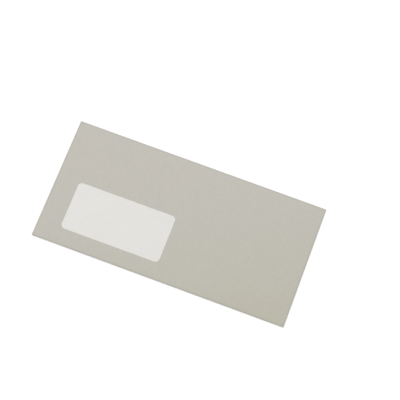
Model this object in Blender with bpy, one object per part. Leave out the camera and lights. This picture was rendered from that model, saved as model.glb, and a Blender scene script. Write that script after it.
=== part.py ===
"""Window envelope: one die-cut sheet of recycled paper, folded into a pocket, with a glassine address window.

The envelope lies flat with its window up. X runs along its long side, +Y points to the top fold, which the
seal flap turns about, and +Z is up. The origin is the middle of the face that it rests on. Sizes are in metres.

The sheet is modelled panel by panel and fold by fold. From the top down, the layers are the front panel, the
window glue, the film, the pocket, the side flaps, the seam glue, the back panel, the seal gum and the seal flap.
"""

import math

import bmesh
import bpy
from mathutils import Vector

# Folded envelope
ENVELOPE_LENGTH = 0.229         # between the side folds, over all
ENVELOPE_HEIGHT = 0.114         # between the bottom fold and the top fold, over all
ENVELOPE_THICKNESS = 0.0012     # empty, as its springy folds let it lie

# Sheets and what joins them
PAPER_THICKNESS = 0.00010
FILM_THICKNESS = 0.00004
GLUE_THICKNESS = 0.00003
GUM_THICKNESS = 0.00003
LAYER_GAP = 0.00002             # rough faces keep glued layers this far apart
CREASE_GAP = 0.00002            # between a panel's edge and its fold
FLAP_AIR = 0.00006              # air between the closed flap's gum and the back panel

# Window, measured on the front as it faces the reader
WINDOW_LENGTH = 0.090
WINDOW_HEIGHT = 0.045
WINDOW_FROM_LEFT = 0.020
WINDOW_FROM_BOTTOM = 0.015
WINDOW_CORNER_RADIUS = 0.004
WINDOW_GLUE_MARGIN = 0.0015     # bare paper between the cut edge and the glue
WINDOW_GLUE_WIDTH = 0.005
FILM_MARGIN = 0.0015            # film outside the glue

# Side flaps, folded in behind the front panel
SIDE_FLAP_WIDTH = 0.018         # from the side fold's edge
SIDE_FLAP_TAPER = 0.005         # how much shorter each end is at the free edge
SIDE_FLAP_CORNER_RADIUS = 0.004
SIDE_FOLD_RELIEF = 0.0005       # notch between a side fold and the corner of the front panel

# Back panel, folded up over the side flaps
BACK_SIDE_MARGIN = 0.0004       # from the side fold's tangent line to the panel's edge
THROAT_DEPTH = 0.015            # from the top fold's edge to the back panel's free edge
THROAT_CORNER_RADIUS = 0.006
SEAM_GLUE_WIDTH = 0.005
SEAM_GLUE_EDGE = 0.002          # from the back panel's side edge
SEAM_GLUE_END = 0.012           # from each end of the side flap
SEAM_GLUE_CORNER_RADIUS = 0.002

# Seal flap, a shallow V with rounded shoulders
FLAP_DEPTH = 0.038              # from the top fold's edge to the rounded point
FLAP_SHOULDER_DEPTH = 0.0265    # where the shoulder runs out into the straight edge
FLAP_SHOULDER_RUN = 0.034       # from the flap's end to the same place
FLAP_POINT_RADIUS = 0.060
FLAP_SIDE_MARGIN = 0.0001       # from the side fold's tangent line to the flap's end
HINGE_CLEARANCE = 0.00075       # between the crease line and the flap's near edge

# Seal gum, a band along the flap's free edge
GUM_WIDTH = 0.012
GUM_EDGE = 0.004                # bare paper between the gum and the free edge
GUM_END = 0.017                 # from the flap's end

# Facets
FOLD_STEPS = 10
CORNER_SEGMENTS = 8
SHOULDER_STEPS = 14
POINT_STEPS = 6

# Heights of the layers, from the face that the envelope rests on
FLAP_BOTTOM = 0.0
FLAP_TOP = FLAP_BOTTOM + PAPER_THICKNESS
GUM_BOTTOM = FLAP_TOP + LAYER_GAP
BACK_BOTTOM = GUM_BOTTOM + GUM_THICKNESS + FLAP_AIR
SEAM_GLUE_BOTTOM = BACK_BOTTOM + PAPER_THICKNESS + LAYER_GAP
SIDE_FLAP_BOTTOM = SEAM_GLUE_BOTTOM + GLUE_THICKNESS + LAYER_GAP
FRONT_TOP = ENVELOPE_THICKNESS
FRONT_BOTTOM = FRONT_TOP - PAPER_THICKNESS
WINDOW_GLUE_BOTTOM = FRONT_BOTTOM - LAYER_GAP - GLUE_THICKNESS
FILM_BOTTOM = WINDOW_GLUE_BOTTOM - LAYER_GAP - FILM_THICKNESS

# Each fold is a half round that joins the front panel to the layer that it carries
SIDE_FOLD_RADIUS = (FRONT_TOP - SIDE_FLAP_BOTTOM) / 2
BOTTOM_FOLD_RADIUS = (FRONT_TOP - BACK_BOTTOM) / 2
TOP_FOLD_RADIUS = (FRONT_TOP - FLAP_BOTTOM) / 2

# Flat part of the front panel, between the folds' tangent lines
FRONT_HALF_LENGTH = ENVELOPE_LENGTH / 2 - SIDE_FOLD_RADIUS
FRONT_LOW_Y = -ENVELOPE_HEIGHT / 2 + BOTTOM_FOLD_RADIUS
FRONT_HIGH_Y = ENVELOPE_HEIGHT / 2 - TOP_FOLD_RADIUS
SIDE_FOLD_LOW_Y = FRONT_LOW_Y + SIDE_FOLD_RELIEF
SIDE_FOLD_HIGH_Y = FRONT_HIGH_Y - SIDE_FOLD_RELIEF

WINDOW_CENTRE = Vector((
    -ENVELOPE_LENGTH / 2 + WINDOW_FROM_LEFT + WINDOW_LENGTH / 2,
    -ENVELOPE_HEIGHT / 2 + WINDOW_FROM_BOTTOM + WINDOW_HEIGHT / 2,
))

# Colours as the photograph shows them, 0 to 255
PAPER_COLOUR = (193, 190, 181)
FLAP_COLOUR = (188, 185, 173)
FILM_COLOUR = (228, 226, 222)
GLUE_COLOUR = (214, 211, 200)
GUM_COLOUR = (176, 172, 156)


def clear_scene():
    """Remove every object of the open file."""
    for obj in list(bpy.data.objects):
        bpy.data.objects.remove(obj, do_unlink=True)


def linear(value):
    """A colour value of 0 to 255 as the linear value that a shader takes."""
    share = value / 255
    if share <= 0.04045:
        return share / 12.92
    return ((share + 0.055) / 1.055) ** 2.4


def make_material(name, colour, roughness):
    material = bpy.data.materials.new(name)
    material.use_nodes = True
    shader = material.node_tree.nodes["Principled BSDF"]
    shader.inputs["Base Color"].default_value = (*(linear(value) for value in colour), 1.0)
    shader.inputs["Roughness"].default_value = roughness
    shader.inputs["Metallic"].default_value = 0.0
    return material


def add_piece(name, bm, colour, roughness, location=(0, 0, 0), turn=0.0, parent=None):
    """Turn a bmesh into a named object with its own material."""
    bmesh.ops.recalc_face_normals(bm, faces=bm.faces)
    mesh = bpy.data.meshes.new(name)
    bm.to_mesh(mesh)
    bm.free()
    mesh.materials.append(make_material(name, colour, roughness))
    obj = bpy.data.objects.new(name, mesh)
    bpy.context.scene.collection.objects.link(obj)
    obj.parent = parent
    obj.location = location
    obj.rotation_euler.z = turn
    return obj


def slab(outline, thickness):
    """A flat sheet: the outline, run anticlockwise, pulled up from Z = 0 by the thickness."""
    bm = bmesh.new()
    face = bm.faces.new([bm.verts.new((x, y, 0)) for x, y in outline])
    raised = bmesh.ops.extrude_face_region(bm, geom=[face])
    top = [item for item in raised["geom"] if isinstance(item, bmesh.types.BMVert)]
    bmesh.ops.translate(bm, verts=top, vec=(0, 0, thickness))
    return bm


def rectangle(low, high):
    """The corners of an upright rectangle, anticlockwise from its low corner."""
    return [(low[0], low[1]), (high[0], low[1]), (high[0], high[1]), (low[0], high[1])]


def round_corners(bm, radius, at_corner):
    """Round the upright edges of a slab whose place at_corner(x, y) picks."""
    upright = [
        edge for edge in bm.edges
        if abs(edge.verts[0].co.z - edge.verts[1].co.z) > PAPER_THICKNESS / 100
        and at_corner(edge.verts[0].co.x, edge.verts[0].co.y)
    ]
    bmesh.ops.bevel(
        bm, geom=upright, offset=radius, offset_type='OFFSET', segments=CORNER_SEGMENTS, profile=0.5,
        affect='EDGES', clamp_overlap=True, material=-1,
    )


def rounded_rectangle(size_x, size_y, radius, thickness):
    """A slab about Z = 0 with four round corners, centred on X and Y."""
    half = Vector((size_x / 2, size_y / 2))
    bm = slab(rectangle(-half, half), thickness)
    round_corners(bm, radius, lambda x, y: True)
    return bm


def fold_strip(run, radius):
    """A half-round fold of outer radius about the X axis, bulging to +Y, as long as its run."""
    bm = bmesh.new()
    section = [
        bm.verts.new((x, 0, z))
        for x, z in rectangle((-run / 2, radius - PAPER_THICKNESS), (run / 2, radius))
    ]
    face = bm.faces.new(section)
    bmesh.ops.spin(
        bm, geom=[face], cent=(0, 0, 0), axis=(1, 0, 0), dvec=(0, 0, 0), angle=-math.pi,
        steps=FOLD_STEPS, use_merge=False, use_duplicate=False,
    )
    return bm


def smooth_round(obj):
    """Shade a fold smooth round its bend and sharp at its cut edges."""
    obj.data.shade_smooth()
    obj.data.set_sharp_from_angle(angle=math.radians(40))


def make_front_panel():
    """The address side, with the window cut through it."""
    low = (-FRONT_HALF_LENGTH + CREASE_GAP, FRONT_LOW_Y + CREASE_GAP)
    high = (FRONT_HALF_LENGTH - CREASE_GAP, FRONT_HIGH_Y - CREASE_GAP)
    panel = add_piece(
        "front_panel", slab(rectangle(low, high), PAPER_THICKNESS), PAPER_COLOUR, 0.85,
        location=(0, 0, FRONT_BOTTOM),
    )
    punch_height = 4 * PAPER_THICKNESS
    punch = add_piece(
        "window_punch", rounded_rectangle(WINDOW_LENGTH, WINDOW_HEIGHT, WINDOW_CORNER_RADIUS, punch_height),
        PAPER_COLOUR, 0.85, location=(*WINDOW_CENTRE, FRONT_TOP - punch_height / 2),
    )
    punch.hide_render = True
    punch.display_type = 'WIRE'
    cut = panel.modifiers.new("window", 'BOOLEAN')
    cut.operation = 'DIFFERENCE'
    cut.object = punch
    return panel


def make_window_glue():
    """A frame of adhesive round the cut-out, on the panel's inner face."""
    outer_margin = WINDOW_GLUE_MARGIN + WINDOW_GLUE_WIDTH
    bm = rounded_rectangle(
        WINDOW_LENGTH + 2 * outer_margin, WINDOW_HEIGHT + 2 * outer_margin,
        WINDOW_CORNER_RADIUS + outer_margin, GLUE_THICKNESS,
    )
    lids = [face for face in bm.faces if abs(face.normal.z) > 0.5]
    bmesh.ops.inset_individual(bm, faces=lids, thickness=WINDOW_GLUE_WIDTH, use_even_offset=True)
    bmesh.ops.bridge_loops(bm, edges=[edge for face in lids for edge in face.edges])
    bmesh.ops.delete(bm, geom=lids, context='FACES_ONLY')
    return add_piece(
        "window_glue_frame", bm, GLUE_COLOUR, 0.45, location=(*WINDOW_CENTRE, WINDOW_GLUE_BOTTOM),
    )


def make_window_film():
    """The milky film, cut square and wider than its glue."""
    lap = WINDOW_GLUE_MARGIN + WINDOW_GLUE_WIDTH + FILM_MARGIN
    half = Vector((WINDOW_LENGTH / 2 + lap, WINDOW_HEIGHT / 2 + lap))
    return add_piece(
        "window_film", slab(rectangle(-half, half), FILM_THICKNESS), FILM_COLOUR, 0.35,
        location=(*WINDOW_CENTRE, FILM_BOTTOM),
    )


def make_side_flap(name, side):
    """A tapered flap behind the front panel, glued inside the back panel. side is -1 at the left, 1 at the right."""
    crease_x = FRONT_HALF_LENGTH - CREASE_GAP
    free_x = ENVELOPE_LENGTH / 2 - SIDE_FLAP_WIDTH
    outline = [
        (side * crease_x, SIDE_FOLD_LOW_Y),
        (side * crease_x, SIDE_FOLD_HIGH_Y),
        (side * free_x, SIDE_FOLD_HIGH_Y - SIDE_FLAP_TAPER),
        (side * free_x, SIDE_FOLD_LOW_Y + SIDE_FLAP_TAPER),
    ]
    bm = slab(outline, PAPER_THICKNESS)
    halfway = (crease_x + free_x) / 2
    round_corners(bm, SIDE_FLAP_CORNER_RADIUS, lambda x, y: abs(x) < halfway)
    return add_piece(name, bm, PAPER_COLOUR, 0.85, location=(0, 0, SIDE_FLAP_BOTTOM))


def make_seam_glue(name, side):
    """The line of adhesive between a side flap and the back panel."""
    outer_x = FRONT_HALF_LENGTH - BACK_SIDE_MARGIN - SEAM_GLUE_EDGE
    centre_x = side * (outer_x - SEAM_GLUE_WIDTH / 2)
    low_y = SIDE_FOLD_LOW_Y + SEAM_GLUE_END
    high_y = ENVELOPE_HEIGHT / 2 - THROAT_DEPTH - SEAM_GLUE_END
    bm = rounded_rectangle(SEAM_GLUE_WIDTH, high_y - low_y, SEAM_GLUE_CORNER_RADIUS, GLUE_THICKNESS)
    return add_piece(
        name, bm, GLUE_COLOUR, 0.45, location=(centre_x, (low_y + high_y) / 2, SEAM_GLUE_BOTTOM),
    )


def make_back_panel():
    """The panel folded up from the bottom, open at the throat."""
    half_length = FRONT_HALF_LENGTH - BACK_SIDE_MARGIN
    low_y = FRONT_LOW_Y + CREASE_GAP
    high_y = ENVELOPE_HEIGHT / 2 - THROAT_DEPTH
    bm = slab(rectangle((-half_length, low_y), (half_length, high_y)), PAPER_THICKNESS)
    round_corners(bm, THROAT_CORNER_RADIUS, lambda x, y: y > (low_y + high_y) / 2)
    return add_piece("back_panel", bm, PAPER_COLOUR, 0.85, location=(0, 0, BACK_BOTTOM))


def make_folds():
    """The four creases of the sheet, each a half round between two panels."""
    side_run = SIDE_FOLD_HIGH_Y - SIDE_FOLD_LOW_Y
    side_y = (SIDE_FOLD_HIGH_Y + SIDE_FOLD_LOW_Y) / 2
    back_run = 2 * (FRONT_HALF_LENGTH - BACK_SIDE_MARGIN)
    flap_run = 2 * (FRONT_HALF_LENGTH - FLAP_SIDE_MARGIN)
    places = (
        ("left_fold", side_run, SIDE_FOLD_RADIUS, (-FRONT_HALF_LENGTH, side_y), math.pi / 2),
        ("right_fold", side_run, SIDE_FOLD_RADIUS, (FRONT_HALF_LENGTH, side_y), -math.pi / 2),
        ("bottom_fold", back_run, BOTTOM_FOLD_RADIUS, (0, FRONT_LOW_Y), math.pi),
        ("top_fold", flap_run, TOP_FOLD_RADIUS, (0, FRONT_HIGH_Y), 0.0),
    )
    for name, run, radius, place, turn in places:
        fold = add_piece(
            name, fold_strip(run, radius), PAPER_COLOUR, 0.85,
            location=(*place, FRONT_TOP - radius), turn=turn,
        )
        smooth_round(fold)


def flap_curve():
    """Half the flap's length at its fold, the slope of its straight edge, and half the length of its round point."""
    half_length = FRONT_HALF_LENGTH - FLAP_SIDE_MARGIN
    run = half_length - FLAP_SHOULDER_RUN
    rise = FLAP_DEPTH - FLAP_POINT_RADIUS - FLAP_SHOULDER_DEPTH
    # The straight edge starts at the shoulder and is tangent to the circle that rounds the point.
    angle = math.atan2(rise, run) + math.asin(FLAP_POINT_RADIUS / math.hypot(run, rise))
    return half_length, math.tan(angle), FLAP_POINT_RADIUS * math.sin(angle)


def flap_edge(from_end):
    """Depth of the flap's free edge below the top fold's edge, at a distance from the flap's end."""
    half_length, slope, round_half = flap_curve()
    from_middle = abs(half_length - from_end)
    if from_middle < round_half:
        return FLAP_DEPTH - FLAP_POINT_RADIUS + math.sqrt(FLAP_POINT_RADIUS ** 2 - from_middle ** 2)
    straight = FLAP_SHOULDER_DEPTH + slope * (from_end - FLAP_SHOULDER_RUN)
    if from_end < FLAP_SHOULDER_RUN:
        return straight * math.sqrt(1 - (1 - from_end / FLAP_SHOULDER_RUN) ** 2)
    return straight


def edge_stations(first):
    """Distances from the flap's end to its middle, close together where its edge is round."""
    half_length, _, round_half = flap_curve()
    stations = []
    for step in range(SHOULDER_STEPS + 1):
        turn = math.pi / 2 * step / SHOULDER_STEPS
        stations.append(FLAP_SHOULDER_RUN * (1 - math.cos(turn)))
    for step in range(POINT_STEPS + 1):
        stations.append(half_length - round_half * (1 - step / POINT_STEPS))
    return [first] + [station for station in stations if station > first]


def both_halves(half):
    """A curve from the left end to the middle, followed by its mirror image."""
    return half + [(-x, y) for x, y in reversed(half[:-1])]


def make_hinge():
    """An empty on the axis that the flap turns about: the crease line, along the top fold's outer edge."""
    hinge = bpy.data.objects.new("seal_flap_hinge", None)
    bpy.context.scene.collection.objects.link(hinge)
    hinge.location = (0, ENVELOPE_HEIGHT / 2, FRONT_TOP - TOP_FOLD_RADIUS)
    return hinge


def make_seal_flap(hinge):
    """The flap, closed flat under the back. Its points are measured from the hinge."""
    half_length = FRONT_HALF_LENGTH - FLAP_SIDE_MARGIN
    near_y = -HINGE_CLEARANCE
    half = [(-half_length, near_y)]
    for from_end in edge_stations(0.0):
        y = -flap_edge(from_end)
        if y < near_y:
            half.append((from_end - half_length, y))
    bm = slab(both_halves(half), PAPER_THICKNESS)
    return add_piece(
        "seal_flap", bm, FLAP_COLOUR, 0.85, location=(0, 0, FLAP_BOTTOM - hinge.location.z), parent=hinge,
    )


def make_seal_gum(hinge):
    """The band of dry gum on the flap's inner face, a set way in from its free edge."""
    half_length = FRONT_HALF_LENGTH - FLAP_SIDE_MARGIN
    outer = []
    inner = []
    for from_end in edge_stations(GUM_END):
        y = GUM_EDGE - flap_edge(from_end)
        outer.append((from_end - half_length, y))
        inner.append((from_end - half_length, y + GUM_WIDTH))
    outline = both_halves(outer) + both_halves(inner)[::-1]
    bm = slab(outline, GUM_THICKNESS)
    return add_piece(
        "seal_gum_strip", bm, GUM_COLOUR, 0.3, location=(0, 0, GUM_BOTTOM - hinge.location.z), parent=hinge,
    )


def main():
    clear_scene()
    make_front_panel()
    make_window_glue()
    make_window_film()
    make_side_flap("left_side_flap", -1)
    make_side_flap("right_side_flap", 1)
    make_seam_glue("left_seam_glue", -1)
    make_seam_glue("right_seam_glue", 1)
    make_back_panel()
    make_folds()
    hinge = make_hinge()
    make_seal_flap(hinge)
    make_seal_gum(hinge)


main()
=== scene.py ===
"""Looks of the window envelope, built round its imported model.

The envelope lies flat with its window up. X runs along its long side, +Y points to the crease that the seal
flap turns about, and +Z is up. Sizes are in metres. Each sheet is modelled as its outer face. A Solidify
modifier then gives it its thickness, towards the inside of the pocket, and is applied.
"""

import math

import bmesh
import bpy
from mathutils import Matrix, Vector, noise


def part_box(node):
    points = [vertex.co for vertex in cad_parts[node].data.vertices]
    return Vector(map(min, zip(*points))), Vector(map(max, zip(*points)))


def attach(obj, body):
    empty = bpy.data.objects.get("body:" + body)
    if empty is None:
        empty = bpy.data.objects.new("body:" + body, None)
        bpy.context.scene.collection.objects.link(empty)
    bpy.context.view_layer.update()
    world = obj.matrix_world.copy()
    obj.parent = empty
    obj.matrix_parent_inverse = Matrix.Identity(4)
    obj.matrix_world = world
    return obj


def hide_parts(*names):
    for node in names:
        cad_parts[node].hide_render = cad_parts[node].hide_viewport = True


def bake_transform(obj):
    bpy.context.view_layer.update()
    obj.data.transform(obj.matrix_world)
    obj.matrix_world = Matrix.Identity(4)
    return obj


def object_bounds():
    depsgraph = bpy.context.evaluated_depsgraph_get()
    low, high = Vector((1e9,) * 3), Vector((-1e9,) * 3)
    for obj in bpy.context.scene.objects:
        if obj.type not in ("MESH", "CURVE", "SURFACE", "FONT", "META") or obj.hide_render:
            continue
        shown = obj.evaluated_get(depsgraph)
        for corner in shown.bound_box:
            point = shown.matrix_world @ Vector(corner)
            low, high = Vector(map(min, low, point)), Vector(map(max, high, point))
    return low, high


bl_info = {
    "name": "Window envelope",
    "version": (1, 0, 0),
    "blender": (4, 5, 0),
    "location": "View3D > Sidebar > Envelope",
    "description": "Builds the sheets, window and glue lines of a window envelope round its packed model",
    "category": "Mesh",
}

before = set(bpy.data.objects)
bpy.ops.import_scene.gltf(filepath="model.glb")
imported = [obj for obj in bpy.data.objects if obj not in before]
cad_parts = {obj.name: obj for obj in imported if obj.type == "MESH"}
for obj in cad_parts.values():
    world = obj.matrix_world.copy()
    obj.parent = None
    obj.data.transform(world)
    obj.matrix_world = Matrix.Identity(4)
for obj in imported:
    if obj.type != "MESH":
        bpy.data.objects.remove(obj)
CAD_LOW, CAD_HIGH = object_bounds()

# Outline of the folded envelope
LEFT_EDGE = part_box("left_fold")[0].x
RIGHT_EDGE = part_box("right_fold")[1].x
BOTTOM_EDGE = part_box("bottom_fold")[0].y
TOP_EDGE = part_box("top_fold")[1].y

# Layers, from the face that the envelope rests on
FACE_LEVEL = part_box("front_panel")[1].z
PAPER = FACE_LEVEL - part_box("front_panel")[0].z
TOUCHING = PAPER / 100          # points nearer to each other than this are one
SIDE_FLAP_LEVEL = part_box("left_side_flap")[0].z
BACK_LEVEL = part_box("back_panel")[0].z
FLAP_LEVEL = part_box("seal_flap")[0].z
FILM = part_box("window_film")[1].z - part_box("window_film")[0].z
FILM_BELOW_FACE = FACE_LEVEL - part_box("window_film")[1].z
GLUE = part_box("window_glue_frame")[1].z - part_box("window_glue_frame")[0].z
GLUE_BELOW_FACE = FACE_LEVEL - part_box("window_glue_frame")[1].z
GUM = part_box("seal_gum_strip")[1].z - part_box("seal_gum_strip")[0].z

# Free ends of the sheets
SIDE_FLAP_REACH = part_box("left_side_flap")[1].x - LEFT_EDGE
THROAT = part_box("back_panel")[1].y
BACK_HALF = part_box("back_panel")[1].x
FLAP_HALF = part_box("seal_flap")[1].x
FLAP_DEPTH = TOP_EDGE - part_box("seal_flap")[0].y
GUM_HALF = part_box("seal_gum_strip")[1].x
GUM_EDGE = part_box("seal_gum_strip")[0].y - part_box("seal_flap")[0].y

# Shape of the cut sheets where their boxes don't give it
SIDE_FLAP_TAPER = 0.005
SIDE_FLAP_ROUND = 0.004
THROAT_ROUND = 0.006
FLAP_SHOULDER_DEPTH = 0.0265
FLAP_SHOULDER_RUN = 0.034
FLAP_POINT_RADIUS = 0.060
GUM_WIDTH = 0.012
GLUE_WIDTH = 0.005

# Bodies, and gaps between pieces
BODY = "envelope"
FLAP_BODY = "flap"
LEVEL_GAP = 0.00001             # between two layers that lie on each other
CORNER_GAP = 0.00003            # between a corner and the end of the crease that it turns into

# Steps of the meshes
CELL = 0.0028                   # side of the cells that the sheets are divided into
FOLD_STEPS = 14                 # round a crease
CORNER_STEPS = 5                # round a corner of the folded envelope
ROUND_END_STEPS = 6             # round a corner of a sheet's free end
WINDOW_ROUND_STEPS = 12         # round a corner of the cut-out
COLLAR_WIDTH = 1.4 * CELL       # of the rows of faces round the cut-out
COLLAR_ROWS = (0.5, 0.25, 0.14, 0.11)   # shares of that width, from the outer row inwards
FLAP_COLUMNS = 96
FLAP_ROWS = 18
FLAP_ROW_POWER = 1.2            # brings the seal flap's rows closer together towards its crease
GUM_COLUMNS = 90
GUM_ROWS = 6
SHARP_ANGLE = math.radians(50)  # an edge that bends more than this is a cut edge

# Waves of the sheets
FINE_WAVE_SHARE = 0.35          # depth of the finer waves that lie on the long ones
FINE_WAVE_TIMES = 2.3           # how many of them come to one of the long ones
WAVE_GAIN = 0.62                # brings the usual range of the waves to about 0 to 1
FLAP_WAVE_SHARE = 0.2           # the closed seal flap is pressed flatter than the panels
GUM_WAVE_LENGTH = 0.006
FACE_SEED = 3.1                 # each sheet has waves of its own
BACK_SEED = 5.9
FLAP_SEED = 11.3
FILM_SEED = 7.7
GUM_SEED = 2.0

# Finishes and stage
CREASE_DISTANCE = "crease_distance"
CREASE_SHADE_AND_WEAR_CORE = 0.0007              # painted shade and wear: the paper is darkest up to this far from a crease
CREASE_SHADE_AND_WEAR_END = 0.0016               # and is plain from here on
NOISE_LOW = 0.3                 # most values of a noise texture lie between these two
NOISE_HIGH = 0.7
WHITE = (1.0, 1.0, 1.0)
SEEING_RAYS = ("Camera", "Glossy", "Transmission")
FLOOR_HALF = 0.6
FLOOR_LIP = 0.0006              # width of the floor that reaches in under the envelope's edges
FLOOR_LIFT = 0.15               # brings the lit floor up to plain white


def window_opening():
    """Lowest and highest corner of the cut-out and its corner radius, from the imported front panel."""
    low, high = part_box("front_panel")
    inside = [
        vertex.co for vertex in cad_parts["front_panel"].data.vertices
        if low.x + CELL < vertex.co.x < high.x - CELL and low.y + CELL < vertex.co.y < high.y - CELL
    ]
    left = min(point.x for point in inside)
    right = max(point.x for point in inside)
    bottom = min(point.y for point in inside)
    top = max(point.y for point in inside)
    straight = min(point.x for point in inside if top - point.y < TOUCHING)
    return Vector((left, bottom)), Vector((right, top)), straight - left


WINDOW_LOW, WINDOW_HIGH, WINDOW_ROUND = window_opening()


def linear(red, green, blue):
    """A colour of three values of 0 to 255 as a shader takes it."""
    def value(part):
        share = part / 255
        return share / 12.92 if share <= 0.04045 else ((share + 0.055) / 1.055) ** 2.4
    return value(red), value(green), value(blue)


# Settings that a user would change


class EnvelopeForm(bpy.types.PropertyGroup):
    """How the sheets depart from plain flat ones"""

    edge_fall: bpy.props.FloatProperty(
        name="Edge fall", description="How far the window side comes down to its creases",
        default=0.0003, min=0.0, unit='LENGTH', precision=5)
    edge_run: bpy.props.FloatProperty(
        name="Edge run", description="Width of the border in which it comes down",
        default=0.010, min=0.001, unit='LENGTH', precision=4)
    flap_rise: bpy.props.FloatProperty(
        name="Flap rise", description="How far the closed seal flap rises to its crease",
        default=0.00024, min=0.0, unit='LENGTH', precision=5)
    ripple_height: bpy.props.FloatProperty(
        name="Ripple height", description="Depth of the soft waves in the panels",
        default=0.00016, min=0.0, unit='LENGTH', precision=5)
    ripple_length: bpy.props.FloatProperty(
        name="Ripple length", description="Distance between the soft waves",
        default=0.055, min=0.005, unit='LENGTH', precision=4)
    cut_fall: bpy.props.FloatProperty(
        name="Cut fall", description="How far the punch has pressed the paper down at the window's edge",
        default=0.00003, min=0.0, unit='LENGTH', precision=5)
    cut_run: bpy.props.FloatProperty(
        name="Cut run", description="Width of the paper that the punch has pressed down",
        default=0.0018, min=0.0001, unit='LENGTH', precision=4)
    cockle_height: bpy.props.FloatProperty(
        name="Film cockle height", description="Depth of the waves in the window film",
        default=0.00004, min=0.0, unit='LENGTH', precision=5)
    cockle_length: bpy.props.FloatProperty(
        name="Film cockle length", description="Distance between the waves in the window film",
        default=0.016, min=0.002, unit='LENGTH', precision=4)
    gum_waver: bpy.props.FloatProperty(
        name="Gum waver", description="How far the edges of the gum band waver",
        default=0.0003, min=0.0, unit='LENGTH', precision=5)


class EnvelopePaper(bpy.types.PropertyGroup):
    """Colours and grain of the recycled paper"""

    # Painted shade: the paper runs from the cool tone at the upper left to the darker, yellower warm tone
    # at the lower right, away from the key lamp.
    cool_lit_tone: bpy.props.FloatVectorProperty(
        name="Cool tone", description="Grey of the recycled paper where it is coolest",
        default=linear(196.5, 193, 184.8), min=0.0, max=1.0, size=3, subtype='COLOR')
    warm_shaded_tone: bpy.props.FloatVectorProperty(
        name="Warm tone", description="Grey of the recycled paper where it is warmest",
        default=linear(190.3, 187.8, 172.9), min=0.0, max=1.0, size=3, subtype='COLOR')
    dark_tone: bpy.props.FloatVectorProperty(
        name="Dark tone", description="Colour of the darkest fibres and specks",
        default=linear(126, 121, 112), min=0.0, max=1.0, size=3, subtype='COLOR')
    pale_tone: bpy.props.FloatVectorProperty(
        name="Pale tone", description="Colour of the palest fibres and of the cut edge",
        default=linear(216, 213, 206), min=0.0, max=1.0, size=3, subtype='COLOR')
    # Painted shade along the creases, partly wear: how dark the paper is made at its folded edges, where
    # shade falls.
    crease_shade_and_wear_tone: bpy.props.FloatProperty(
        name="Wear tone", description="Brightness of the worn paper along the creases, as a share",
        default=0.88, min=0.0, max=1.0, subtype='FACTOR')
    cloud_size: bpy.props.FloatProperty(
        name="Cloud size", description="Size of the lighter and darker clouds in the sheet",
        default=0.0035, min=0.0002, unit='LENGTH', precision=4)
    grain_size: bpy.props.FloatProperty(
        name="Grain size", description="Size of the fine grain of the sheet",
        default=0.00016, min=0.00002, unit='LENGTH', precision=5)


class EnvelopeFilm(bpy.types.PropertyGroup):
    """Colours of the window film, the glue and the gum"""

    film_tone: bpy.props.FloatVectorProperty(
        name="Film tone", description="Colour of the milky window film",
        default=linear(239, 237, 232), min=0.0, max=1.0, size=3, subtype='COLOR')
    glue_tone: bpy.props.FloatVectorProperty(
        name="Glue tone", description="Colour of the dried glue",
        default=linear(214, 211, 200), min=0.0, max=1.0, size=3, subtype='COLOR')
    gum_tone: bpy.props.FloatVectorProperty(
        name="Gum tone", description="Colour of the dry seal gum",
        default=linear(176, 172, 156), min=0.0, max=1.0, size=3, subtype='COLOR')


class EnvelopeStage(bpy.types.PropertyGroup):
    """Camera, light and floor"""

    azimuth: bpy.props.FloatProperty(
        name="Azimuth", description="Camera's turn round the envelope, from in front of its bottom edge",
        default=math.radians(12.83), subtype='ANGLE', unit='ROTATION')
    elevation: bpy.props.FloatProperty(
        name="Elevation", description="Camera's angle above the floor",
        default=math.radians(68.84), subtype='ANGLE', unit='ROTATION')
    roll: bpy.props.FloatProperty(
        name="Roll", description="Camera's turn about its own line of sight",
        default=math.radians(7.97), subtype='ANGLE', unit='ROTATION')
    distance: bpy.props.FloatProperty(
        name="Distance", description="From the camera to the point that it looks at",
        default=1.3863, min=0.1, unit='LENGTH')
    aim: bpy.props.FloatVectorProperty(
        name="Aim", description="Point of the window side's plane that the camera looks at",
        default=(0.0090, 0.0251), size=2, unit='LENGTH', precision=4)
    focal_pixels: bpy.props.FloatProperty(
        name="Focal length in pixels", description="Focal length, in pixels of the 400 pixel wide photo",
        default=1597.4, min=10.0)
    world_strength: bpy.props.FloatProperty(
        name="World strength", description="Brightness of the light from all sides",
        default=0.66, min=0.0)
    key_power: bpy.props.FloatProperty(
        name="Key power", description="Power of the large soft lamp beyond the top edge",
        default=139.6, min=0.0, unit='POWER')
    key_size: bpy.props.FloatProperty(
        name="Key size", description="Side of the large soft lamp",
        default=2.8, min=0.1, unit='LENGTH')
    key_place: bpy.props.FloatVectorProperty(
        name="Key place", description="Where the large soft lamp hangs",
        default=(-2.0, 3.1, 4.5), size=3, subtype='XYZ', unit='LENGTH')
    floor_tone: bpy.props.FloatVectorProperty(
        name="Floor tone", description="Colour of the plain floor",
        default=(0.94, 0.94, 0.94), min=0.0, max=1.0, size=3, subtype='COLOR')


# Heights of the sheets


def clipped(value):
    """The nearest value from 0 to 1."""
    return min(max(value, 0.0), 1.0)


def waves(x, y, length, seed):
    """A smooth value of 0 to 1 that rises and falls over about that length."""
    place = Vector((x / length, y / length, seed))
    value = noise.noise(place) + FINE_WAVE_SHARE * noise.noise(place * FINE_WAVE_TIMES)
    return clipped(0.5 + WAVE_GAIN * value)


def edge_height():
    """Height of the window side along its creases."""
    return FACE_LEVEL - bpy.context.scene.envelope_form.edge_fall


def crease_radius(carried_level):
    """Outer radius of a fold between the window side's border and a sheet at that level."""
    return (edge_height() - carried_level) / 2


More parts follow.
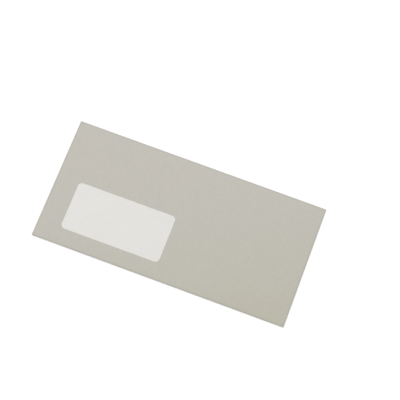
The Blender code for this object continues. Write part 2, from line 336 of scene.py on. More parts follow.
def tangent_lines():
    """Where the window side ends and its folds start: left, right, bottom and top."""
    form = bpy.context.scene.envelope_form
    side = crease_radius(SIDE_FLAP_LEVEL)
    return (
        LEFT_EDGE + side,
        RIGHT_EDGE - side,
        BOTTOM_EDGE + crease_radius(BACK_LEVEL),
        TOP_EDGE - crease_radius(FLAP_LEVEL + form.flap_rise),
    )


def border_share(distance, run):
    """0 at a crease, 1 from the border's inner edge on, with its steepest part at the crease."""
    return 1 - (1 - clipped(distance / run)) ** 2


def distance_to_window(x, y):
    """Distance from the cut-out's edge, below 0 inside it."""
    centre = (WINDOW_LOW + WINDOW_HIGH) / 2
    half = (WINDOW_HIGH - WINDOW_LOW) / 2
    off = Vector((
        abs(x - centre.x) - half.x + WINDOW_ROUND,
        abs(y - centre.y) - half.y + WINDOW_ROUND,
    ))
    outside = Vector((max(off.x, 0.0), max(off.y, 0.0))).length
    return outside + min(max(off.x, off.y), 0.0) - WINDOW_ROUND


def face_fall(x, y):
    """How far the window side lies below its highest level."""
    form = bpy.context.scene.envelope_form
    left, right, bottom, top = tangent_lines()
    share = border_share(min(x - left, right - x), form.edge_run)
    share *= border_share(min(y - bottom, top - y), form.edge_run)
    ripple = form.ripple_height * waves(x, y, form.ripple_length, FACE_SEED)
    pressed = form.cut_fall * (1 - border_share(abs(distance_to_window(x, y)), form.cut_run))
    return form.edge_fall * (1 - share) + share * ripple + pressed


def film_fall(x, y):
    """How far the film lies below the window side's highest level, less its own gap."""
    form = bpy.context.scene.envelope_form
    free = clipped(-distance_to_window(x, y) / form.cockle_length)
    cockle = form.cockle_height * waves(x, y, form.cockle_length, FILM_SEED)
    return face_fall(x, y) + cockle * free


def flap_lift(x, y):
    """How far the closed seal flap lies above the floor."""
    form = bpy.context.scene.envelope_form
    crease = tangent_lines()[3]
    inner = border_share(crease - y, form.edge_run)
    ripple = FLAP_WAVE_SHARE * form.ripple_height * waves(x, y, form.ripple_length, FLAP_SEED)
    return form.flap_rise * (1 - inner) + inner * ripple


# Outline of the seal flap


def flap_edge(x):
    """Depth of the seal flap's free edge below the top crease."""
    rise = FLAP_DEPTH - FLAP_POINT_RADIUS - FLAP_SHOULDER_DEPTH
    run = FLAP_HALF - FLAP_SHOULDER_RUN
    angle = math.atan2(rise, run) + math.asin(FLAP_POINT_RADIUS / math.hypot(run, rise))
    if abs(x) < FLAP_POINT_RADIUS * math.sin(angle):
        return FLAP_DEPTH - FLAP_POINT_RADIUS + math.sqrt(FLAP_POINT_RADIUS ** 2 - x ** 2)
    from_end = FLAP_HALF - abs(x)
    straight = FLAP_SHOULDER_DEPTH + math.tan(angle) * (from_end - FLAP_SHOULDER_RUN)
    if from_end >= FLAP_SHOULDER_RUN:
        return straight
    return straight * math.sqrt(1 - (1 - clipped(from_end / FLAP_SHOULDER_RUN)) ** 2)


# Mesh tools


def only(kind, geometry):
    """The vertices, edges or faces among what an operator made."""
    return [item for item in geometry if isinstance(item, kind)]


def add_grid(bm, low, high, level, columns=1, rows=1):
    """Add flat faces between two corners. Returns their vertices."""
    size = high - low
    middle = (low + high) / 2
    made = bmesh.ops.create_grid(bm, x_segments=columns, y_segments=rows, size=0.5)["verts"]
    bmesh.ops.scale(bm, verts=made, vec=(size.x, size.y, 1))
    bmesh.ops.translate(bm, verts=made, vec=(middle.x, middle.y, level))
    return made


def flat_sheet(low, high, level):
    """A flat sheet of even cells between two corners."""
    bm = bmesh.new()
    size = high - low
    add_grid(bm, low, high, level, round(size.x / CELL), round(size.y / CELL))
    return bm


def straight_edge(bm, start, end, cuts):
    """A straight row of edges, which a sheet grows from."""
    first = bm.verts.new(start)
    last = bm.verts.new(end)
    edge = bm.edges.new((first, last))
    bmesh.ops.subdivide_edges(bm, edges=[edge], cuts=cuts)
    return bm.edges[:]


def lengthen(bm, place):
    """Run a straight row of edges on to a place past its nearer end."""
    end = min(bm.verts, key=lambda vertex: (vertex.co - Vector(place)).length)
    added = bmesh.ops.extrude_vert_indiv(bm, verts=[end])["verts"][0]
    added.co = place
    return bm.edges[:]


def roll(bm, edges, centre, axis, angle, steps):
    """Roll the last row of edges round an axis. Returns the new last row."""
    ends = dict.fromkeys(vertex for edge in edges for vertex in edge.verts)
    rolled = bmesh.ops.spin(
        bm, geom=[*edges, *ends], cent=centre, axis=axis, dvec=(0, 0, 0), angle=angle, steps=steps,
        use_merge=False, use_duplicate=False,
    )
    return only(bmesh.types.BMEdge, rolled["geom_last"])


def fold(bm, edges, centre, axis, side, kept):
    """Roll a row half way round its crease, where the ends that aren't kept stop, and then all the way."""
    turn = side * math.pi / 2
    edges = roll(bm, edges, centre, axis, turn, FOLD_STEPS // 2)
    edges = [edge for edge in edges if all(kept(vertex.co) for vertex in edge.verts)]
    return roll(bm, edges, centre, axis, turn, FOLD_STEPS // 2)


def round_corner(bm, corner, turn, stretch):
    """Close the corner past the end of a side crease, as round as the crease itself.

    stretch is the radius of the crease that it turns into, as a share of the side crease's own.
    """
    end = [
        edge for edge in bm.edges
        if all(abs(vertex.co.y - corner.y) < LEVEL_GAP for vertex in edge.verts)
    ]
    before = set(bm.verts)
    roll(bm, end, (*corner, 0), (0, 0, 1), turn, CORNER_STEPS)
    for vertex in bm.verts:
        if vertex in before:
            continue
        off = vertex.co.xy - corner
        turned = (off.y / max(off.length, LEVEL_GAP)) ** 2
        vertex.co.y = corner.y + off.y * stretch
        vertex.co.z = edge_height() - (edge_height() - vertex.co.z) * (1 + (stretch - 1) * turned)


def grow(bm, edges, step):
    """Add one row of faces to the sheet. Returns the new last row of edges and its vertices."""
    grown = bmesh.ops.extrude_edge_only(bm, edges=edges)["geom"]
    vertices = only(bmesh.types.BMVert, grown)
    bmesh.ops.translate(bm, verts=vertices, vec=step)
    return only(bmesh.types.BMEdge, grown), vertices


def rounded_end(distance, reach, radius):
    """How much a sheet with round corners narrows on each side, at a distance from its crease."""
    into_corner = distance - (reach - radius)
    if into_corner <= 0:
        return 0.0
    return radius * (1 - math.sqrt(1 - clipped(into_corner / radius) ** 2))


def corner_rows(reach, radius):
    """Distances of the rows of a sheet that ends in round corners."""
    straight = reach - radius
    count = math.ceil(straight / (2 * CELL))
    rows = [straight * row / count for row in range(1, count + 1)]
    for step in range(1, ROUND_END_STEPS + 1):
        rows.append(straight + radius * math.sin(math.pi / 2 * step / ROUND_END_STEPS))
    return rows


def look_outwards(bm):
    """Merge what lies on itself and turn the faces so that the highest one looks up, which is outwards."""
    bmesh.ops.remove_doubles(bm, verts=bm.verts, dist=TOUCHING)
    bmesh.ops.recalc_face_normals(bm, faces=bm.faces)
    highest = max(bm.faces, key=lambda face: face.calc_center_median().z)
    if highest.normal.z < 0:
        bmesh.ops.reverse_faces(bm, faces=bm.faces)


def mark_creases(mesh):
    """Write how far each point lies inside the nearest crease, in metres, to an attribute of the mesh."""
    attribute = mesh.attributes.new(CREASE_DISTANCE, 'FLOAT', 'POINT')
    for vertex in mesh.vertices:
        x, y = vertex.co.xy
        distance = min(x - LEFT_EDGE, RIGHT_EDGE - x, y - BOTTOM_EDGE, TOP_EDGE - y)
        attribute.data[vertex.index].value = distance


def add_object(name, data):
    """Put a mesh, a lamp or a camera into the scene."""
    obj = bpy.data.objects.new(name, data)
    bpy.context.scene.collection.objects.link(obj)
    return obj


def new_piece(name, bm, thickness, materials):
    """Make the object of a sheet and give it its thickness, inwards from the modelled face.

    The last material is the one of the cut edges.
    """
    look_outwards(bm)
    mesh = bpy.data.meshes.new(name)
    bm.to_mesh(mesh)
    bm.free()
    mesh.shade_smooth()
    for material in materials:
        mesh.materials.append(material)
    mark_creases(mesh)
    obj = add_object(name, mesh)
    wall = obj.modifiers.new("thickness", 'SOLIDIFY')
    wall.thickness = thickness
    wall.offset = -1.0          # inwards
    wall.use_even_offset = True
    wall.use_quality_normals = True
    wall.material_offset_rim = len(materials) - 1
    # Applied here, because only the finished sheet has the cut edges that have to be sharp.
    whole = obj.evaluated_get(bpy.context.evaluated_depsgraph_get())
    obj.data = bpy.data.meshes.new_from_object(whole)
    obj.data.name = name
    obj.modifiers.clear()
    bpy.data.meshes.remove(mesh)
    obj.data.set_sharp_from_angle(angle=SHARP_ANGLE)
    return obj


def paper_sheet(name, bm):
    """A sheet of the envelope's paper, with its paler cut edges."""
    return new_piece(name, bm, PAPER, (recycled_paper(), paper_cut_edge()))


def stand_for(piece, body, slot, *nodes):
    """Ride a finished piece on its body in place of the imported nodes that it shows."""
    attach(piece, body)
    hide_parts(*nodes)


# Materials


class Nodes:
    """The node tree of a material or world, with short calls for what they have in common."""

    def __init__(self, owner, shader="Principled BSDF"):
        owner.use_nodes = True
        self.tree = owner.node_tree
        self.shader = self.tree.nodes[shader]

    def link(self, source, target):
        self.tree.links.new(source, target)

    def place(self):
        """Object coordinates, in metres."""
        return self.tree.nodes.new("ShaderNodeTexCoord").outputs["Object"]

    def rays(self, *kinds):
        """1 for rays of these kinds and 0 for all others."""
        path = self.tree.nodes.new("ShaderNodeLightPath")
        found = path.outputs[f"Is {kinds[0]} Ray"]
        for kind in kinds[1:]:
            found = self.math('MAXIMUM', found, path.outputs[f"Is {kind} Ray"])
        return found

    def fill(self, socket, value):
        """Give an input a number or a colour of its own, or the output of a node."""
        if isinstance(value, bpy.types.NodeSocket):
            self.link(value, socket)
        elif socket.type == 'RGBA':
            socket.default_value = (*value, 1.0)
        else:
            socket.default_value = value

    def set(self, name, value):
        self.fill(self.shader.inputs[name], value)

    def moved(self, stretch, turn, shift):
        """Object coordinates that are shifted, turned and stretched."""
        mapping = self.tree.nodes.new("ShaderNodeMapping")
        mapping.inputs["Location"].default_value = (shift, shift, shift)
        mapping.inputs["Rotation"].default_value = (0.0, 0.0, turn)
        mapping.inputs["Scale"].default_value = stretch
        self.link(self.place(), mapping.inputs["Vector"])
        return mapping.outputs["Vector"]

    def noise(self, size, detail=3.0, stretch=(1.0, 1.0, 1.0), turn=0.0, shift=0.0):
        """Noise whose features have that size in metres."""
        node = self.tree.nodes.new("ShaderNodeTexNoise")
        node.inputs["Scale"].default_value = 1 / size
        node.inputs["Detail"].default_value = detail
        self.link(self.moved(stretch, turn, shift), node.inputs["Vector"])
        return node.outputs["Fac"]

    def fibres(self, curl, thickness, covered, shift):
        """Thin curly fibres: 1 along their middles, where a smooth noise passes its middle value."""
        middle = 0.5
        drawn_out = (0.6, 1.0, 1.0)
        fade = 0.05
        course = self.noise(size=curl, detail=1.0, stretch=drawn_out, turn=shift, shift=shift)
        off = self.math('ABSOLUTE', self.math('SUBTRACT', course, middle), 0.0)
        line = self.remap(off, 0.0, thickness / curl, to_low=1.0, to_high=0.0)
        gap = NOISE_LOW + (NOISE_HIGH - NOISE_LOW) * (1 - covered)
        breaks = self.noise(size=curl, detail=1.0, shift=shift + 0.5)
        return self.math('MULTIPLY', line, self.remap(breaks, gap, gap + fade))

    def specks(self, spacing, radius, shift):
        """Small round specks, one in some of the cells of that spacing."""
        flat_cells = (1.0, 1.0, 0.2)
        core = 0.6 * radius
        left_out = 0.55
        full = 0.75
        node = self.tree.nodes.new("ShaderNodeTexVoronoi")
        node.inputs["Scale"].default_value = 1 / spacing
        self.link(self.moved(flat_cells, 0.0, shift), node.inputs["Vector"])
        near = self.remap(
            node.outputs["Distance"], core / spacing, radius / spacing, to_low=1.0, to_high=0.0,
        )
        chosen = self.remap(node.outputs["Color"], left_out, full)
        return self.math('MULTIPLY', near, chosen)

    def along(self, direction):
        """How far a point lies along a direction, in metres."""
        node = self.tree.nodes.new("ShaderNodeVectorMath")
        node.operation = 'DOT_PRODUCT'
        self.link(self.place(), node.inputs[0])
        node.inputs[1].default_value = direction
        return node.outputs["Value"]

    def attribute(self, name):
        """A number that the mesh holds for each of its points."""
        node = self.tree.nodes.new("ShaderNodeAttribute")
        node.attribute_name = name
        return node.outputs["Fac"]

    def remap(self, value, low, high, to_low=0.0, to_high=1.0):
        """Stretch a range of values to another one, and keep what lies outside at its ends."""
        node = self.tree.nodes.new("ShaderNodeMapRange")
        node.inputs["From Min"].default_value = low
        node.inputs["From Max"].default_value = high
        node.inputs["To Min"].default_value = to_low
        node.inputs["To Max"].default_value = to_high
        self.link(value, node.inputs["Value"])
        return node.outputs["Result"]

    def spread(self, pattern, low=0.0, high=1.0):
        """A noise's usual range, stretched to run between two values."""
        return self.remap(pattern, NOISE_LOW, NOISE_HIGH, low, high)

    def math(self, operation, first, second):
        node = self.tree.nodes.new("ShaderNodeMath")
        node.operation = operation
        for socket, value in zip(node.inputs, (first, second)):
            self.fill(socket, value)
        return node.outputs["Value"]

    def mix(self, share, first, second):
        """Between two colours, by a share of 0 to 1."""
        node = self.tree.nodes.new("ShaderNodeMix")
        node.data_type = 'RGBA'
        colours = [socket for socket in node.inputs if socket.type == 'RGBA']
        self.fill(node.inputs["Factor"], share)
        self.fill(colours[0], first)
        self.fill(colours[1], second)
        return next(socket for socket in node.outputs if socket.type == 'RGBA')

    def mixed_in(self, tone, colour, pattern, most):
        """A tone that takes up to that share of another colour, where a pattern comes to 1."""
        return self.mix(self.math('MULTIPLY', pattern, most), tone, colour)

    def scaled(self, colour, value):
        """A colour made lighter or darker by a value near 1."""
        node = self.tree.nodes.new("ShaderNodeVectorMath")
        node.operation = 'SCALE'
        self.link(colour, node.inputs[0])
        self.link(value, node.inputs["Scale"])
        return node.outputs["Vector"]

    def varied(self, colour, pattern, amount):
        """A colour that a noise makes up to that share darker and lighter."""
        return self.scaled(colour, self.spread(pattern, 1 - amount, 1 + amount))

    def bump(self, height, distance, strength):
        """Fine relief from a pattern, that distance high."""
        node = self.tree.nodes.new("ShaderNodeBump")
        node.inputs["Distance"].default_value = distance
        node.inputs["Strength"].default_value = strength
        self.link(height, node.inputs["Height"])
        self.link(node.outputs["Normal"], self.shader.inputs["Normal"])


def material(make):
    """Make each finish only once, however many pieces ask for it."""
    def find():
        if make.__name__ not in bpy.data.materials:
            make(Nodes(bpy.data.materials.new(make.__name__)))
        return bpy.data.materials[make.__name__]
    return find


@material
def recycled_paper(nodes):
    """Matt grey recycled paper: clouds, curly fibres, a few dark fibres and specks, painted shade that
    darkens it towards the lower right, and painted shade with some wear along the creases.
    """
    paper = bpy.context.scene.envelope_paper
    # Painted shade: the paper turns darker and yellower towards the lower right, away from the key lamp.
    towards_painted_shade = (0.5, -0.85, 0.0)
    wander = nodes.spread(nodes.noise(size=0.05, detail=2.0), low=-0.008, high=0.008)
    drift = nodes.math('ADD', nodes.along(towards_painted_shade), wander)
    painted_shade_and_warmth = nodes.math('POWER', nodes.remap(drift, low=-0.060, high=0.093), 2.0)
    tone = nodes.mix(painted_shade_and_warmth, paper.cool_lit_tone, paper.warm_shaded_tone)
    tone = nodes.varied(tone, nodes.noise(paper.cloud_size, detail=4.0), amount=0.016)
    grain = nodes.noise(paper.grain_size, shift=0.4)
    tone = nodes.varied(tone, grain, amount=0.022)
    long_pulp = nodes.fibres(curl=0.0011, thickness=0.00005, covered=0.75, shift=0.3)
    short_pulp = nodes.fibres(curl=0.0008, thickness=0.00004, covered=0.75, shift=1.9)
    pulp = nodes.math('MAXIMUM', long_pulp, short_pulp)
    tone = nodes.mixed_in(tone, paper.pale_tone, pulp, most=0.2)
    stray = nodes.fibres(curl=0.0013, thickness=0.00003, covered=0.30, shift=3.2)
    tone = nodes.mixed_in(tone, paper.dark_tone, stray, most=0.28)
    specks = nodes.specks(spacing=0.0030, radius=0.00007, shift=0.7)
    tone = nodes.mixed_in(tone, paper.dark_tone, specks, most=0.35)
    # Painted shade at the folded edges, partly wear of the fibres: the paper is darkened near each crease.
    near_crease = nodes.remap(
        nodes.attribute(CREASE_DISTANCE), CREASE_SHADE_AND_WEAR_CORE, CREASE_SHADE_AND_WEAR_END, to_low=1.0, to_high=0.0,
    )
    crease_shade_and_wear = nodes.math('MULTIPLY', near_crease, nodes.spread(grain, low=0.4, high=1.0))
    tone = nodes.scaled(tone, nodes.remap(crease_shade_and_wear, 0.0, 1.0, to_low=1.0, to_high=paper.crease_shade_and_wear_tone))
    nodes.set("Base Color", tone)
    nodes.set("Roughness", nodes.spread(grain, low=0.94, high=0.84))
    nodes.set("Specular IOR Level", 0.3)
    pulp_height = 0.4
    relief = nodes.math('ADD', grain, nodes.math('MULTIPLY', pulp, pulp_height))
    nodes.bump(relief, distance=0.00004, strength=0.4)


@material
def paper_cut_edge(nodes):
    """The paper's cut edge: paler and rougher than its face."""
    paper = bpy.context.scene.envelope_paper
    frayed = nodes.noise(paper.grain_size / 2, shift=0.9)
    nodes.set("Base Color", nodes.mix(nodes.spread(frayed), paper.cool_lit_tone, paper.pale_tone))
    nodes.set("Roughness", 0.95)
    nodes.set("Specular IOR Level", 0.2)
    nodes.bump(frayed, distance=0.00005, strength=0.5)


@material
def milky_glassine(nodes):
    """Milky glassine: a smooth film with faint clouds, a soft gloss and a little light through it."""
    film = bpy.context.scene.envelope_film
    cloud = nodes.noise(size=0.005, detail=4.0, shift=0.2)
    tone = nodes.mix(nodes.spread(cloud, low=0.0, high=0.10), film.film_tone, WHITE)
    tone = nodes.varied(tone, nodes.noise(size=0.0005, shift=1.7), amount=0.012)
    nodes.set("Base Color", tone)
    nodes.set("Roughness", nodes.spread(cloud, low=0.46, high=0.38))
    nodes.set("Transmission Weight", 0.15)
    nodes.bump(nodes.noise(size=0.0022, shift=0.6), distance=0.00003, strength=0.2)


@material
def dried_glue(nodes):
    """Dried dispersion glue: pale, smooth and slightly uneven."""
    film = bpy.context.scene.envelope_film
    patch = nodes.noise(size=0.0015, detail=4.0)
    tone = nodes.mix(nodes.spread(patch, low=0.0, high=0.3), film.glue_tone, film.gum_tone)
    nodes.set("Base Color", tone)
    nodes.set("Roughness", nodes.spread(patch, low=0.35, high=0.6))
    nodes.bump(patch, distance=0.00003, strength=0.3)


@material
def seal_gum(nodes):
    """Dry seal gum: a thin glossy coat with fine lines along the way that the roller ran."""
    film = bpy.context.scene.envelope_film
    lines = nodes.noise(size=0.0006, stretch=(0.03, 1.0, 1.0))
    patch = nodes.noise(size=0.004, shift=0.8)
    tone = nodes.mix(nodes.spread(patch, low=0.0, high=0.35), film.gum_tone, film.glue_tone)
    nodes.set("Base Color", nodes.varied(tone, lines, amount=0.05))
    nodes.set("Roughness", nodes.spread(patch, low=0.16, high=0.32))
    nodes.bump(lines, distance=0.00002, strength=0.35)


# Pieces


def to_window(part):
    """Distance from an edge's or a face's middle to the cut-out."""
    middle = sum((vertex.co for vertex in part.verts), Vector()) / len(part.verts)
    return distance_to_window(middle.x, middle.y)


def window_collar(bm):
    """Rows of faces round the cut-out, closer together towards its edge. Returns their outer edges."""
    margin = Vector((COLLAR_WIDTH, COLLAR_WIDTH))
    made = add_grid(bm, WINDOW_LOW - margin, WINDOW_HIGH + margin, FACE_LEVEL)
    bmesh.ops.bevel(
        bm, geom=made, offset=WINDOW_ROUND + COLLAR_WIDTH, offset_type='OFFSET',
        segments=WINDOW_ROUND_STEPS, profile=0.5, affect='VERTICES', clamp_overlap=True, material=-1,
    )
    face = max(bm.faces, key=lambda candidate: len(candidate.verts))
    for edge in list(face.edges):
        cuts = round(edge.calc_length() / CELL) - 1
        if cuts > 0:
            bmesh.ops.subdivide_edges(bm, edges=[edge], cuts=cuts)
    for share in COLLAR_ROWS:
        bmesh.ops.inset_individual(bm, faces=[face], thickness=COLLAR_WIDTH * share, use_even_offset=True)
    bmesh.ops.delete(bm, geom=[face], context='FACES')
    return [
        edge for edge in bm.edges
        if edge.is_boundary and COLLAR_WIDTH / 2 < to_window(edge) < COLLAR_WIDTH + PAPER
    ]


class ENVELOPE_OT_front_panel(bpy.types.Operator):
    """Make the window side: one sheet that comes down to its creases, with the window cut through it"""

    bl_idname = "envelope.front_panel"
    bl_label = "Front panel"

    def execute(self, context):
        left, right, bottom, top = tangent_lines()
        bm = flat_sheet(Vector((left, bottom)), Vector((right, top)), FACE_LEVEL)
        cleared = [face for face in bm.faces if to_window(face) < COLLAR_WIDTH + CELL]
        bmesh.ops.delete(bm, geom=cleared, context='FACES')
        beyond = COLLAR_WIDTH + 3 * CELL
        hole = [edge for edge in bm.edges if edge.is_boundary and to_window(edge) < beyond]
        collar = window_collar(bm)
        bmesh.ops.triangle_fill(bm, use_beauty=True, edges=hole + collar, normal=(0, 0, 1))
        for vertex in bm.verts:
            vertex.co.z -= face_fall(vertex.co.x, vertex.co.y)
        stand_for(paper_sheet("window_side", bm), BODY, "envelope_paper", "front_panel")
        return {'FINISHED'}


class ENVELOPE_OT_side_flaps(bpy.types.Operator):
    """Make the two side flaps, each with its crease and corners, folded in behind the window side"""

    bl_idname = "envelope.side_flaps"
    bl_label = "Side flaps"

    def execute(self, context):
        left, right, bottom, top = tangent_lines()
        radius = crease_radius(SIDE_FLAP_LEVEL)
        notch = radius
        half = (top - bottom) / 2 - notch
        middle = (top + bottom) / 2
        reach = SIDE_FLAP_REACH - radius
        for name, crease, side in (("left", left, -1), ("right", right, 1)):
            turn = side * math.pi / 2
            bm = bmesh.new()
            straight_edge(
                bm, (crease, middle - half, edge_height()), (crease, middle + half, edge_height()),
                round(2 * half / CELL) - 1,
            )
            lengthen(bm, (crease, bottom, edge_height()))
            edges = lengthen(bm, (crease, top, edge_height()))
            edges = fold(
                bm, edges, (crease, 0, edge_height() - radius), (0, 1, 0), side,
                lambda place: abs(place.y - middle) < half + LEVEL_GAP,
            )
            round_corner(bm, Vector((crease, bottom)), -turn, (bottom - BOTTOM_EDGE) / radius)
            round_corner(bm, Vector((crease, top)), turn, (TOP_EDGE - top) / radius)
            before, length = 0.0, half
            for distance in corner_rows(reach, SIDE_FLAP_ROUND):
                edges, vertices = grow(bm, edges, (-side * (distance - before), 0, 0))
                narrowed = half - SIDE_FLAP_TAPER * distance / reach
                narrowed -= rounded_end(distance, reach, SIDE_FLAP_ROUND)
                bmesh.ops.scale(
                    bm, verts=vertices, vec=(1, narrowed / length, 1),
                    space=Matrix.Translation((0, -middle, 0)),
                )
                before, length = distance, narrowed
            stand_for(
                paper_sheet(f"{name}_flap_and_crease", bm), BODY, "envelope_paper",
                f"{name}_side_flap", f"{name}_fold",
            )
        return {'FINISHED'}


class ENVELOPE_OT_back_panel(bpy.types.Operator):
    """Make the back panel with the bottom crease, folded up over the side flaps and open at the throat"""

    bl_idname = "envelope.back_panel"
    bl_label = "Back panel"

    def execute(self, context):
        form = context.scene.envelope_form
        left, right, crease, _ = tangent_lines()
        radius = crease_radius(BACK_LEVEL)
        reach = THROAT - crease
        bm = bmesh.new()
        straight_edge(
            bm, (-BACK_HALF, crease, edge_height()), (BACK_HALF, crease, edge_height()),
            round(BACK_HALF / CELL) - 1,
        )
        lengthen(bm, (left + CORNER_GAP, crease, edge_height()))
        edges = lengthen(bm, (right - CORNER_GAP, crease, edge_height()))
        edges = fold(
            bm, edges, (0, crease, edge_height() - radius), (1, 0, 0), 1,
            lambda place: abs(place.x) < BACK_HALF + LEVEL_GAP,
        )
        before, length = 0.0, BACK_HALF
        free = []
        for distance in corner_rows(reach, THROAT_ROUND):
            edges, vertices = grow(bm, edges, (0, distance - before, 0))
            narrowed = BACK_HALF - rounded_end(distance, reach, THROAT_ROUND)
            bmesh.ops.scale(bm, verts=vertices, vec=(narrowed / length, 1, 1))
            before, length = distance, narrowed
            free += vertices
        for vertex in free:
            x, y = vertex.co.xy
            share = border_share(BACK_HALF - SIDE_FLAP_REACH - abs(x), 2 * form.edge_run)
            share *= border_share(y - crease, form.edge_run)
            vertex.co.z += form.ripple_height * share * waves(x, y, form.ripple_length, BACK_SEED)
        stand_for(
            paper_sheet("back_panel_and_crease", bm), BODY, "envelope_paper", "back_panel", "bottom_fold",
        )
        return {'FINISHED'}


class ENVELOPE_OT_seal_flap(bpy.types.Operator):
    """Make the seal flap with the top crease, lying closed"""

    bl_idname = "envelope.seal_flap"
    bl_label = "Seal flap"

    def execute(self, context):
        form = context.scene.envelope_form
        left, right, _, crease = tangent_lines()
        low = FLAP_LEVEL + form.flap_rise
        radius = crease_radius(low)
        bm = bmesh.new()
        straight_edge(
            bm, (-FLAP_HALF, crease, edge_height()), (FLAP_HALF, crease, edge_height()),
            FLAP_COLUMNS - 1,
        )
        for vertex in bm.verts:
            # Columns stand closer together towards the ends, where the free edge is steep.
            vertex.co.x = FLAP_HALF * math.sin(math.pi / 2 * vertex.co.x / FLAP_HALF)
        lengthen(bm, (left + CORNER_GAP, crease, edge_height()))
        edges = lengthen(bm, (right - CORNER_GAP, crease, edge_height()))
        edges = fold(
            bm, edges, (0, crease, edge_height() - radius), (1, 0, 0), -1,
            lambda place: abs(place.x) < FLAP_HALF + LEVEL_GAP,
        )
        for row in range(1, FLAP_ROWS + 1):
            edges, vertices = grow(bm, edges, (0, 0, 0))
            share = (row / FLAP_ROWS) ** FLAP_ROW_POWER
            for vertex in vertices:
                reach = max(crease - TOP_EDGE + flap_edge(vertex.co.x), radius)
                vertex.co.y = crease - share * reach
                vertex.co.z = FLAP_LEVEL + flap_lift(vertex.co.x, vertex.co.y)
        piece = paper_sheet("seal_flap_and_crease", bm)
        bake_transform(piece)
        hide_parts("seal_flap", "top_fold")
        return {'FINISHED'}


class ENVELOPE_OT_seal_gum(bpy.types.Operator):
    """Make the band of dry gum on the seal flap's inner face"""

    bl_idname = "envelope.seal_gum"
    bl_label = "Seal gum"

    def execute(self, context):
        form = context.scene.envelope_form
        bm = bmesh.new()
        edges = straight_edge(
            bm, (-GUM_HALF, 0, FLAP_LEVEL), (GUM_HALF, 0, FLAP_LEVEL), GUM_COLUMNS - 1,
        )
        vertices = bm.verts[:]
        for row in range(GUM_ROWS + 1):
            if row:
                edges, vertices = grow(bm, edges, (0, 0, 0))
            share = row / GUM_ROWS
            for vertex in vertices:
                x = vertex.co.x
                waver = form.gum_waver * (waves(x, share, GUM_WAVE_LENGTH, GUM_SEED + share) - 0.5)
                vertex.co.y = TOP_EDGE - flap_edge(x) + GUM_EDGE + GUM_WIDTH * share + waver
                vertex.co.z = FLAP_LEVEL + flap_lift(x, vertex.co.y) + PAPER + LEVEL_GAP + GUM
        piece = new_piece("gum_band", bm, GUM, (seal_gum(),))
        stand_for(piece, FLAP_BODY, "seal_gum", "seal_gum_strip")
        return {'FINISHED'}


class ENVELOPE_OT_window_film(bpy.types.Operator):
    """Make the milky film behind the cut-out, with the slight waves of a glued film"""

    bl_idname = "envelope.window_film"
    bl_label = "Window film"

    def execute(self, context):
        low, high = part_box("window_film")
        bm = flat_sheet(low, high, FACE_LEVEL - FILM_BELOW_FACE)
        for vertex in bm.verts:
            vertex.co.z -= film_fall(vertex.co.x, vertex.co.y)
        piece = new_piece("glassine_window", bm, FILM, (milky_glassine(),))
        stand_for(piece, BODY, "window_film", "window_film")
        return {'FINISHED'}


class ENVELOPE_OT_glue_lines(bpy.types.Operator):
    """Make the frame of glue round the cut-out and finish the two seam lines"""

    bl_idname = "envelope.glue_lines"
    bl_label = "Glue lines"

    def execute(self, context):
        low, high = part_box("window_glue_frame")
        bm = flat_sheet(low, high, FACE_LEVEL - GLUE_BELOW_FACE)
        outer = min(WINDOW_LOW.x - low.x, WINDOW_LOW.y - low.y)
        for vertex in bm.verts:
            vertex.co.z -= face_fall(vertex.co.x, vertex.co.y)
        inside = [
            face for face in bm.faces
            if distance_to_window(*face.calc_center_median().xy) < outer - GLUE_WIDTH
        ]
        bmesh.ops.delete(bm, geom=inside, context='FACES')
        piece = new_piece("window_glue_line", bm, GLUE, (dried_glue(),))
        stand_for(piece, BODY, "adhesive", "window_glue_frame")
        for name in ("left_seam_glue", "right_seam_glue"):
            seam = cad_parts[name]
            seam.data.materials.clear()
            seam.data.materials.append(dried_glue())
        return {'FINISHED'}


# Stage


@material
def plain_floor(nodes):
    """A plain white floor that keeps the shadow.

    It isn't seen from below, and it lets light pass to the back of the envelope and of the open seal flap.
    """
    tree = nodes.tree
    nodes.set("Base Color", bpy.context.scene.envelope_stage.floor_tone)
    nodes.set("Roughness", 1.0)
    nodes.set("Specular IOR Level", 0.0)
    lift = tree.nodes.new("ShaderNodeEmission")
    nodes.link(nodes.math('MULTIPLY', nodes.rays(*SEEING_RAYS), FLOOR_LIFT), lift.inputs["Strength"])
    lifted = tree.nodes.new("ShaderNodeAddShader")
    nodes.link(nodes.shader.outputs["BSDF"], lifted.inputs[0])
    nodes.link(lift.outputs["Emission"], lifted.inputs[1])
    parts = tree.nodes.new("ShaderNodeSeparateXYZ")
    nodes.link(nodes.place(), parts.inputs["Vector"])
    camera_ray = nodes.rays("Camera")
    under = nodes.math('SUBTRACT', 1.0, camera_ray)
    for axis, low, high in (("X", LEFT_EDGE, RIGHT_EDGE), ("Y", BOTTOM_EDGE, TOP_EDGE + FLAP_DEPTH)):
        off = nodes.math('ABSOLUTE', nodes.math('SUBTRACT', parts.outputs[axis], (low + high) / 2), 0.0)
        under = nodes.math('MULTIPLY', under, nodes.math('LESS_THAN', off, (high - low) / 2 - FLOOR_LIP))
    side = tree.nodes.new("ShaderNodeNewGeometry")
    from_below = nodes.math('MULTIPLY', side.outputs["Backfacing"], camera_ray)
    clear = tree.nodes.new("ShaderNodeBsdfTransparent")
    chosen = tree.nodes.new("ShaderNodeMixShader")
    nodes.link(nodes.math('MAXIMUM', from_below, under), chosen.inputs["Fac"])
    nodes.link(lifted.outputs["Shader"], chosen.inputs[1])
    nodes.link(clear.outputs["BSDF"], chosen.inputs[2])
    nodes.link(chosen.outputs["Shader"], tree.nodes["Material Output"].inputs["Surface"])


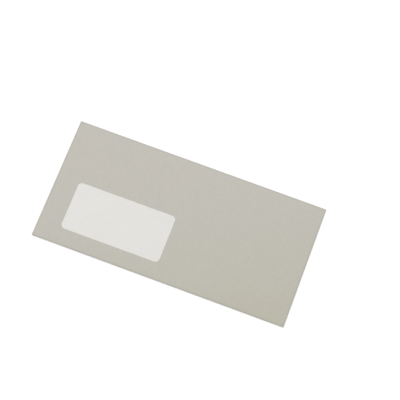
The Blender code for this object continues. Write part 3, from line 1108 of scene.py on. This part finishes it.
def make_floor():
    """A plain floor just below the envelope."""
    bm = bmesh.new()
    bmesh.ops.create_grid(bm, x_segments=1, y_segments=1, size=FLOOR_HALF)
    bmesh.ops.translate(bm, verts=bm.verts, vec=(0, 0, CAD_LOW.z - 2 * LEVEL_GAP))
    mesh = bpy.data.meshes.new("floor")
    bm.to_mesh(mesh)
    bm.free()
    mesh.materials.append(plain_floor())
    add_object("floor", mesh)


def make_world(strength):
    """Even light from all sides, seen as plain white."""
    world = bpy.data.worlds.new("studio")
    nodes = Nodes(world, "Background")
    nodes.set("Color", WHITE)
    nodes.set("Strength", nodes.remap(nodes.rays(*SEEING_RAYS), 0.0, 1.0, strength, 1.0))
    bpy.context.scene.world = world


def make_lamp(name, place, size, power):
    """A large square lamp that looks at the envelope's middle."""
    lamp = bpy.data.lights.new(name, 'AREA')
    lamp.shape = 'SQUARE'
    lamp.size = size
    lamp.energy = power
    obj = add_object(name, lamp)
    obj.location = place
    obj.rotation_mode = 'QUATERNION'
    obj.rotation_quaternion = Vector(place).to_track_quat('Z', 'Y')


def make_camera(stage):
    """The photograph's own view, from its measured angle, turn and focal length."""
    photo_width = 400
    film_width = 36.0
    back = Vector((
        math.sin(stage.azimuth) * math.cos(stage.elevation),
        -math.cos(stage.azimuth) * math.cos(stage.elevation),
        math.sin(stage.elevation),
    ))
    right = Vector((math.cos(stage.azimuth), math.sin(stage.azimuth), 0))
    up = back.cross(right)
    turned_right = math.cos(stage.roll) * right + math.sin(stage.roll) * up
    turned_up = math.cos(stage.roll) * up - math.sin(stage.roll) * right
    camera = bpy.data.cameras.new("camera")
    camera.sensor_width = film_width
    camera.lens = stage.focal_pixels / photo_width * film_width
    obj = add_object("camera", camera)
    turn = Matrix((turned_right, turned_up, back)).transposed()
    aim = Vector((*stage.aim, FACE_LEVEL))
    obj.matrix_world = Matrix.Translation(aim + back * stage.distance) @ turn.to_4x4()
    bpy.context.scene.camera = obj


class ENVELOPE_OT_stage(bpy.types.Operator):
    """Set up the floor, the light and the camera"""

    bl_idname = "envelope.stage"
    bl_label = "Stage"

    def execute(self, context):
        stage = context.scene.envelope_stage
        make_floor()
        make_world(stage.world_strength)
        make_lamp("key_lamp", stage.key_place, stage.key_size, stage.key_power)
        make_camera(stage)
        context.scene.view_settings.view_transform = 'Standard'
        return {'FINISHED'}


class ENVELOPE_PT_panel(bpy.types.Panel):
    """Steps that build the envelope, in order, and their settings"""

    bl_idname = "ENVELOPE_PT_panel"
    bl_label = "Window envelope"
    bl_space_type = 'VIEW_3D'
    bl_region_type = 'UI'
    bl_category = "Envelope"

    def draw(self, context):
        for operator in OPERATORS:
            self.layout.operator(operator.bl_idname)
        for name in SETTINGS:
            box = self.layout.box()
            group = getattr(context.scene, name)
            for setting in group.bl_rna.properties:
                if setting.identifier in group.__annotations__:
                    box.prop(group, setting.identifier)


OPERATORS = (
    ENVELOPE_OT_front_panel,
    ENVELOPE_OT_side_flaps,
    ENVELOPE_OT_back_panel,
    ENVELOPE_OT_seal_flap,
    ENVELOPE_OT_seal_gum,
    ENVELOPE_OT_window_film,
    ENVELOPE_OT_glue_lines,
    ENVELOPE_OT_stage,
)
SETTINGS = {
    "envelope_form": EnvelopeForm,
    "envelope_paper": EnvelopePaper,
    "envelope_film": EnvelopeFilm,
    "envelope_stage": EnvelopeStage,
}


def register():
    for name, group in SETTINGS.items():
        bpy.utils.register_class(group)
        setattr(bpy.types.Scene, name, bpy.props.PointerProperty(type=group))
    for item in (*OPERATORS, ENVELOPE_PT_panel):
        bpy.utils.register_class(item)


def unregister():
    for item in (ENVELOPE_PT_panel, *reversed(OPERATORS)):
        bpy.utils.unregister_class(item)
    for name, group in SETTINGS.items():
        delattr(bpy.types.Scene, name)
        bpy.utils.unregister_class(group)


def main():
    register()
    for operator in OPERATORS:
        module, action = operator.bl_idname.split(".")
        getattr(getattr(bpy.ops, module), action)()


if __name__ == "__main__":
    main()
